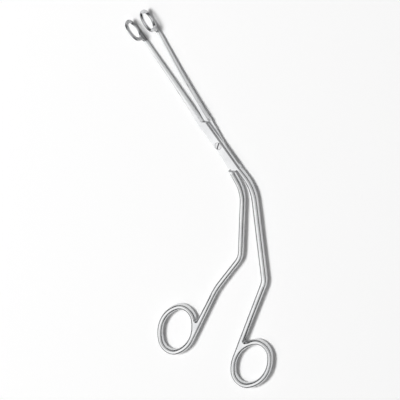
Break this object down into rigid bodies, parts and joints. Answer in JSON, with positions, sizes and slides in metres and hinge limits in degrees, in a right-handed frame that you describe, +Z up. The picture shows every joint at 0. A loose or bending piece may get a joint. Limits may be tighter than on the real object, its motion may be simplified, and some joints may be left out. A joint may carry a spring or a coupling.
{
  "type": "magill forceps",
  "caption": "Angled forceps with serrated loop jaws, a screwed half-lap joint and bent handles with finger rings, lying flat and slightly open.",
  "frame": {"origin": "on the pivot axis, at the flat underside of the joint", "axes": "+Y from the pivot to the jaw tips, +Z up out of the surface it lies on and along the pivot axis, handles bent towards -X"},
  "size_m": [0.1369, 0.2483, 0.0116],
  "materials": {
    "lower_half": "satin polished stainless steel",
    "upper_half": "satin polished stainless steel",
    "joint_screw": "turned stainless steel"
  },
  "bodies": {
    "lower_arm": {"lower_half": "lower_half", "joint_screw": "joint_screw"},
    "upper_arm": {"upper_half": "upper_half"}
  },
  "joints": [
    {"name": "pivot", "type": "hinge", "parent": "lower_arm", "child": "upper_arm", "pos_m": [0, 0, 0.0025], "axis": [0, 0, 1], "range_deg": [-7.4, 33]}
  ]
}
